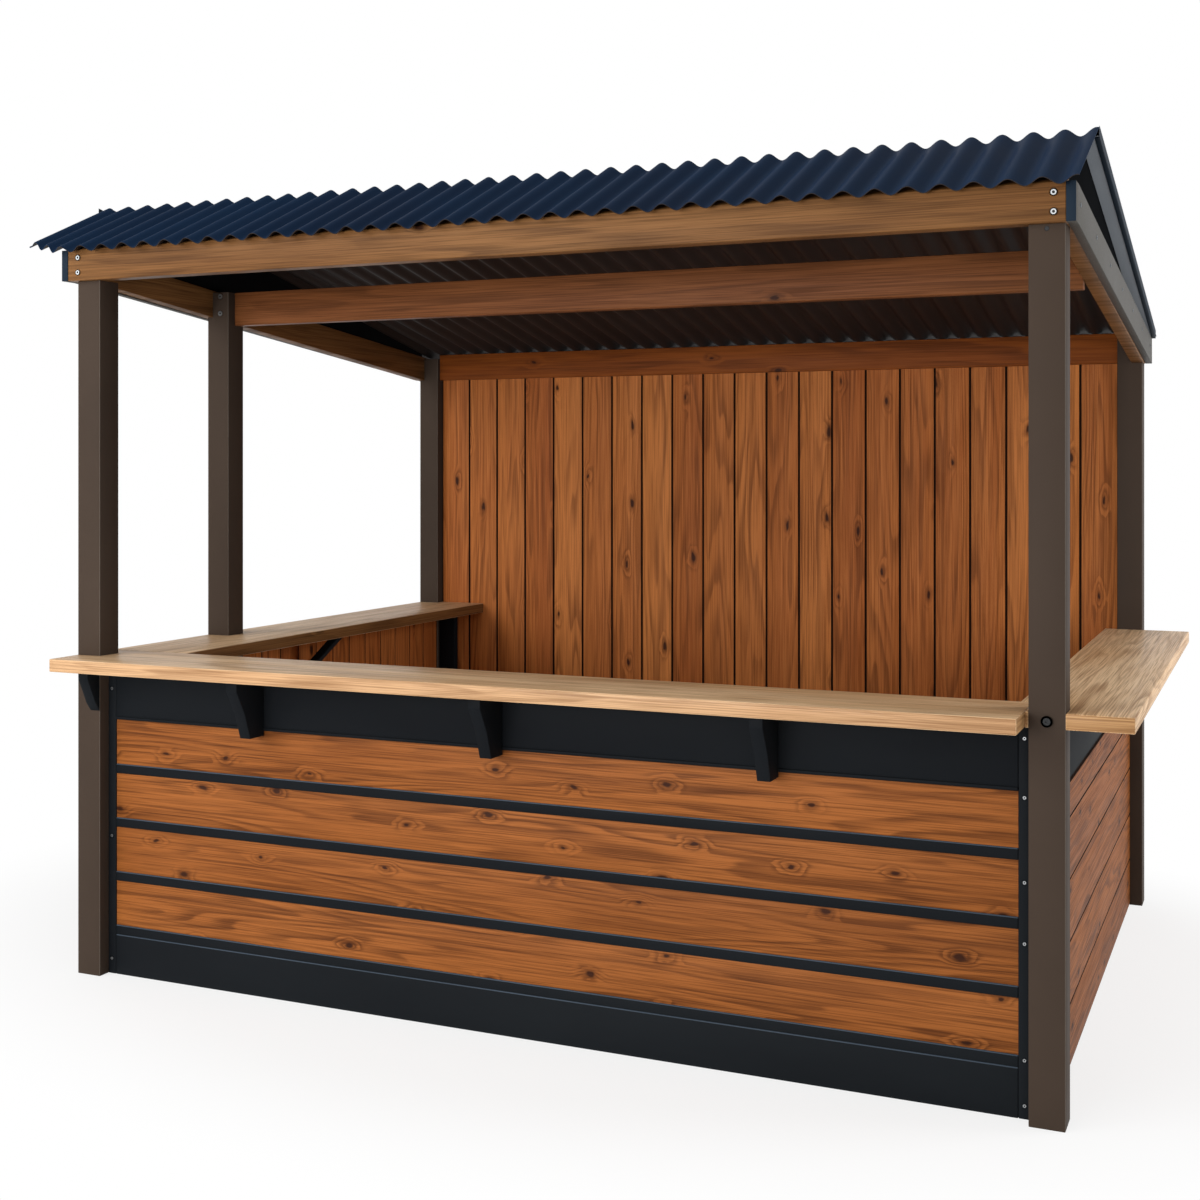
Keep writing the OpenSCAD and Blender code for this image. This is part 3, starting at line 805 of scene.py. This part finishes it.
# %% Hems of the verge strips
hem_wide, hem_deep, strip_thick = 0.014, 0.003, 0.002
verge_run = (rear - ridge_y) / math.cos(rear_pitch)
for name, node in (("verge_hem_left", "verge_left"), ("verge_hem_right", "verge_right")):
    low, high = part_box(node)
    start = low.x if node == "verge_left" else high.x - hem_wide
    hem = block(name, (start, -past_ridge, -strip_thick - hem_deep),
                (start + hem_wide, verge_run, -strip_thick))
    modify(hem, "BEVEL", width=0.001, segments=2, limit_method="ANGLE")
    hem.location = (0, ridge_y, ridge_z)
    hem.rotation_euler = (-rear_pitch, 0, 0)
    settle(hem)
    cut(hem, (0, ridge_y, 0), (0, -1, 0))
    finished(hem, name, "verge_metal", finish="slate_trim")
print("slopes", round(math.degrees(front_pitch), 1), round(math.degrees(rear_pitch), 1), "degrees")

# %% [markdown]
# ## Screws, rivets and bolt
# The screws are zinc-plated pan heads with a driver recess. A short cylinder
# is rounded by a bevel on its rim, and its top is inset and sunk. One is
# modelled lying against a wall that faces -Y, and copied to each place.

# %% One screw head
def screw_head(radius, rise, hole):
    """A head standing up Z, with a sunk recess whose radius is hole."""
    rest()
    bpy.ops.mesh.primitive_cylinder_add(vertices=24, radius=radius, depth=rise, location=(0, 0, rise / 2))
    head = bpy.context.object
    settle(head)
    bpy.ops.object.mode_set(mode="EDIT")
    pick(head, "face", lambda f: f.normal.z > 0.9)
    bpy.ops.mesh.inset(thickness=radius * 0.02, depth=0)
    pick(head, "face", lambda f: f.normal.z > 0.9 and len(f.verts) > 4)
    bpy.ops.mesh.inset(thickness=radius - hole, depth=0)
    bpy.ops.mesh.extrude_region_move(TRANSFORM_OT_translate={"value": (0, 0, -rise * 0.7)})
    # the recess faces take near-black steel: painted shade in the recess
    head.data.materials.append(None)
    head.data.materials.append(finishes["black_steel_and_recess_shade"])
    pick(head, "face", lambda f: middle(f).xy.length < hole * 1.01)
    head.active_material_index = 1
    bpy.ops.object.material_slot_assign()
    pick(head, "edge", lambda e: abs(middle(e).z - rise) < 1e-5 and middle(e).xy.length > radius * 0.96
         and abs(e.verts[0].co.xy.length - e.verts[1].co.xy.length) < 1e-5)
    bpy.ops.mesh.bevel(offset=rise * 0.45, segments=3)
    bpy.ops.object.mode_set(mode="OBJECT")
    return head


def set_heads(name, places, facing, radius, rise, hole, slot, finish):
    """Copies of one head at each place, turned to face along facing, joined as one piece."""
    master = screw_head(radius, rise, hole)
    turn = Vector(facing).to_track_quat("Z", "Y").to_matrix().to_4x4()
    parts = []
    for place in places:
        head = twin(master)
        head.matrix_world = Matrix.Translation(Vector(place)) @ turn
        settle(head)
        parts.append(head)
    bpy.data.objects.remove(master)
    return finished(joined(parts), name, slot, 40, finish)


# %% Screws on the beam, the stiles and the middle post
forwards = (0, -1, 0)
beam_screw_in = (0.018, 0.030)
beam_screw_up = (0.026, 0.074)
beam_screws = []
for x in (left + beam_screw_in[0], beam_high.x - beam_screw_in[1]):
    for up in beam_screw_up:
        beam_screws.append((x, beam_low.y, beam_low.z + up))
set_heads("beam_screws", beam_screws, forwards, radius=0.0085, rise=0.0030, hole=0.0040,
          slot="beam_wood", finish="zinc")

stile_low, stile_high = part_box("front_stile_right")
other_low, other_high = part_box("front_stile_left")
right_heights = (0.035, 0.150, 0.445, 0.600, 0.815, 0.965)
left_heights = (0.05, 0.45, 0.93)
stile_screws = [((stile_low.x + stile_high.x) / 2, stile_low.y, z) for z in right_heights]
stile_screws += [((other_low.x + other_high.x) / 2, other_low.y, z) for z in left_heights]
set_heads("stile_screws", stile_screws, forwards, radius=0.0048, rise=0.0015, hole=0.0022,
          slot="black_paint", finish="zinc")

# these two stand clear of the rafter, which covers the post's left half
mid_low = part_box("post_middle_left")[0]
mid_screw_in = 0.056
mid_heights = (2.212, 2.274)
mid_screws = [(mid_low.x + mid_screw_in, mid_low.y, z) for z in mid_heights]
set_heads("middle_post_screws", mid_screws, forwards, radius=0.0085, rise=0.0028, hole=0.0040,
          slot="post_metal", finish="zinc")

# %% Bolt on the front right post, and a black disc painted as the shade in a hole
post_low, post_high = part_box("post_front_right")
bolt_height = 1.018
hole_shade_drop = 0.012
bolt_place = [((post_low.x + post_high.x) / 2, post_low.y, bolt_height)]
set_heads("counter_bolt", bolt_place, forwards, radius=0.012, rise=0.006, hole=0.004,
          slot="post_metal", finish="black_steel_and_recess_shade")
# a thin black disc stands for the small hole near the post's top: painted shade
top_hole = [((post_low.x + post_high.x) / 2, post_low.y, post_high.z - hole_shade_drop)]
set_heads("top_hole_shade", top_hole, forwards, radius=0.006, rise=0.0008, hole=0.003,
          slot="post_metal", finish="black_steel_and_recess_shade")

# %% Rivets along the fascias
rafter_low, rafter_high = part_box("rafter_right")
fascia_low, fascia_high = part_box("fascia_right")
rafter_deep = 0.1
slope = (rafter_high.z - rafter_deep - rafter_low.z) / (rear - beam_high.y)
rivet_count, rivet_in, rivet_step, rivet_up = 7, 0.09, 0.36, 0.055
rivets = []
for i in range(rivet_count):
    y = fascia_low.y + rivet_in + i * rivet_step
    z = beam_low.z + rivet_up - max(0.0, y - beam_high.y) * slope
    rivets.append((fascia_high.x, y, z))
rivet = dict(radius=0.0055, rise=0.0015, hole=0.002, slot="fascia_metal", finish="verge_metal")
set_heads("fascia_rivets", rivets, (1, 0, 0), **rivet)
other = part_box("fascia_left")[0]
set_heads("fascia_rivets_left", [(other.x, y, z) for _, y, z in rivets], (-1, 0, 0), **rivet)
print(len(beam_screws) + len(stile_screws) + len(mid_screws), "screws,", 2 * len(rivets), "rivets")

# %% [markdown]
# ## Small trim
# A bead finishes the lower edge of the black top rail. Folded ends close the
# fascias where they meet the front beam. A black foam plug under each crest
# closes most of the wave above the rear plate, and leaves specks of daylight.

# %% Bead, fascia ends and foam plugs
rail_low, rail_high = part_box("front_top_rail")
bead_proud, bead_low, bead_high = 0.004, 0.001, 0.011
bead = block("bead", (rail_low.x, rail_low.y - bead_proud, rail_low.z + bead_low),
             (rail_high.x, rail_low.y + bead_proud, rail_low.z + bead_high))
modify(bead, "BEVEL", width=0.003, segments=3, limit_method="ANGLE")
finished(bead, "rail_bead", "black_paint")
end_proud, end_sunk = 0.0015, 0.001
for name, node in (("fascia_end_left", "fascia_left"), ("fascia_end_right", "fascia_right")):
    low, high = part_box(node)
    top = beam_low.z + rafter_deep
    end = block(name, (low.x, low.y - end_proud, top - rafter_deep), (high.x, low.y + end_sunk, top))
    modify(end, "BEVEL", width=0.0006, segments=2, limit_method="ANGLE")
    finished(end, name, "fascia_metal", finish="slate_trim")
plug_half = 0.22 * pitch
plug_front, plug_back = plate_high.y - 0.018, plate_high.y - 0.006
plug_foot, plug_top = plate_high.z - 0.010, plate_high.z + 0.003
plug = block("plug", (-plug_half, plug_front, plug_foot), (plug_half, plug_back, plug_top))
modify(plug, "BEVEL", width=0.002, segments=2, limit_method="ANGLE")
plugs = []
for i in range(waves + 1):
    crest = sheet_low.x + pitch * (1 / 16 + 1 / 2 + i)
    if plate_low.x + plug_half < crest < plate_high.x - plug_half:
        one = twin(plug)
        one.location.x = crest
        settle(one)
        plugs.append(one)
bpy.data.objects.remove(plug)
print(len(plugs), "foam plugs")
finished(joined(plugs), "wave_filler", "black_paint")

# %% [markdown]
# ## The floor and the light
# A plain pale floor keeps the kiosk's shadow, and fades to white away from it,
# so that the object stands alone. Wide soft lamps from the front left and the
# front, a smaller one on the right and the pale surroundings light it plainly.
# The eye sees pure white there, while the light itself stays dim: `seen` tells
# the two kinds of ray apart.

# %% Floor
def seen_rays(tree):
    """1 for a ray that the eye follows, straight, through or off a surface, and 0 for others."""
    ray = add(tree, "ShaderNodeLightPath")
    seen = ray.outputs["Is Camera Ray"]
    for kind in ("Is Transmission Ray", "Is Glossy Ray"):
        seen = add(tree, "ShaderNodeMath", {"operation": "MAXIMUM"}, i0=seen,
                   i1=ray.outputs[kind]).outputs[0]
    return seen


rest()
bpy.ops.mesh.primitive_plane_add(size=60, location=(0, 0, 0))
floor = bpy.context.object
floor.name = "floor"
pale, tree, shader = new_material("pale floor")
shader.inputs["Base Color"].default_value = linear("#F6F6F6")
shader.inputs["Roughness"].default_value = 0.9
shader.inputs["Specular IOR Level"].default_value = 0.0
half_wide, half_deep = 1.75, 1.25
spot = add(tree, "ShaderNodeTexCoord").outputs["Object"]
spot = add(tree, "ShaderNodeMapping", Vector=spot,
           Scale=(1 / half_wide, 1 / half_deep, 1)).outputs[0]
away = add(tree, "ShaderNodeVectorMath", {"operation": "LENGTH"}, i0=spot).outputs["Value"]
fade = add(tree, "ShaderNodeMapRange", {"interpolation_type": "SMOOTHSTEP"}, Value=away, From_Min=1.1,
           From_Max=1.7, To_Min=0.75).outputs[0]
seen = add(tree, "ShaderNodeMath", {"operation": "MULTIPLY"}, i0=seen_rays(tree), i1=fade).outputs[0]
white = add(tree, "ShaderNodeEmission", Color=(1, 1, 1, 1), Strength=1.0).outputs[0]
faded = add(tree, "ShaderNodeMixShader", i0=seen, i1=shader.outputs[0], i2=white).outputs[0]
out = [n for n in tree.nodes if n.type == "OUTPUT_MATERIAL"][0]
tree.links.new(faded, out.inputs[0])
floor.data.materials.append(pale)

# %% World and lamps
world = bpy.data.worlds.new("studio")
bpy.context.scene.world = world
world.use_nodes = True
tree = world.node_tree
tree.nodes.clear()
dim = add(tree, "ShaderNodeBackground", Color=(1.0, 0.985, 0.965, 1), Strength=0.50).outputs[0]
bright = add(tree, "ShaderNodeBackground", Color=(1, 1, 1, 1), Strength=1.0).outputs[0]
sky = add(tree, "ShaderNodeMixShader", i0=seen_rays(tree), i1=dim, i2=bright).outputs[0]
add(tree, "ShaderNodeOutputWorld", Surface=sky)


def lamp(name, place, target, size, watts):
    """A soft lamp at a place, facing its target. size is its two sides."""
    light = bpy.data.lights.new(name, "AREA")
    light.shape = "RECTANGLE"
    light.size, light.size_y = size
    light.energy = watts
    holder = bpy.data.objects.new(name, light)
    holder.location = place
    holder.rotation_euler = (Vector(target) - Vector(place)).to_track_quat("-Z", "Y").to_euler()
    bpy.context.scene.collection.objects.link(holder)


lamp("key", (-4.5, -6.0, 4.2), (0, 0, 1.3), (4.0, 4.0), 240)
lamp("front", (-1.0, -8.0, 1.7), (0.0, 1.0, 1.5), (4.0, 2.0), 310)
lamp("side", (4.8, 0.6, 2.2), (1.6, 0.0, 1.3), (1.8, 1.8), 75)
bpy.context.scene.view_settings.view_transform = "Standard"
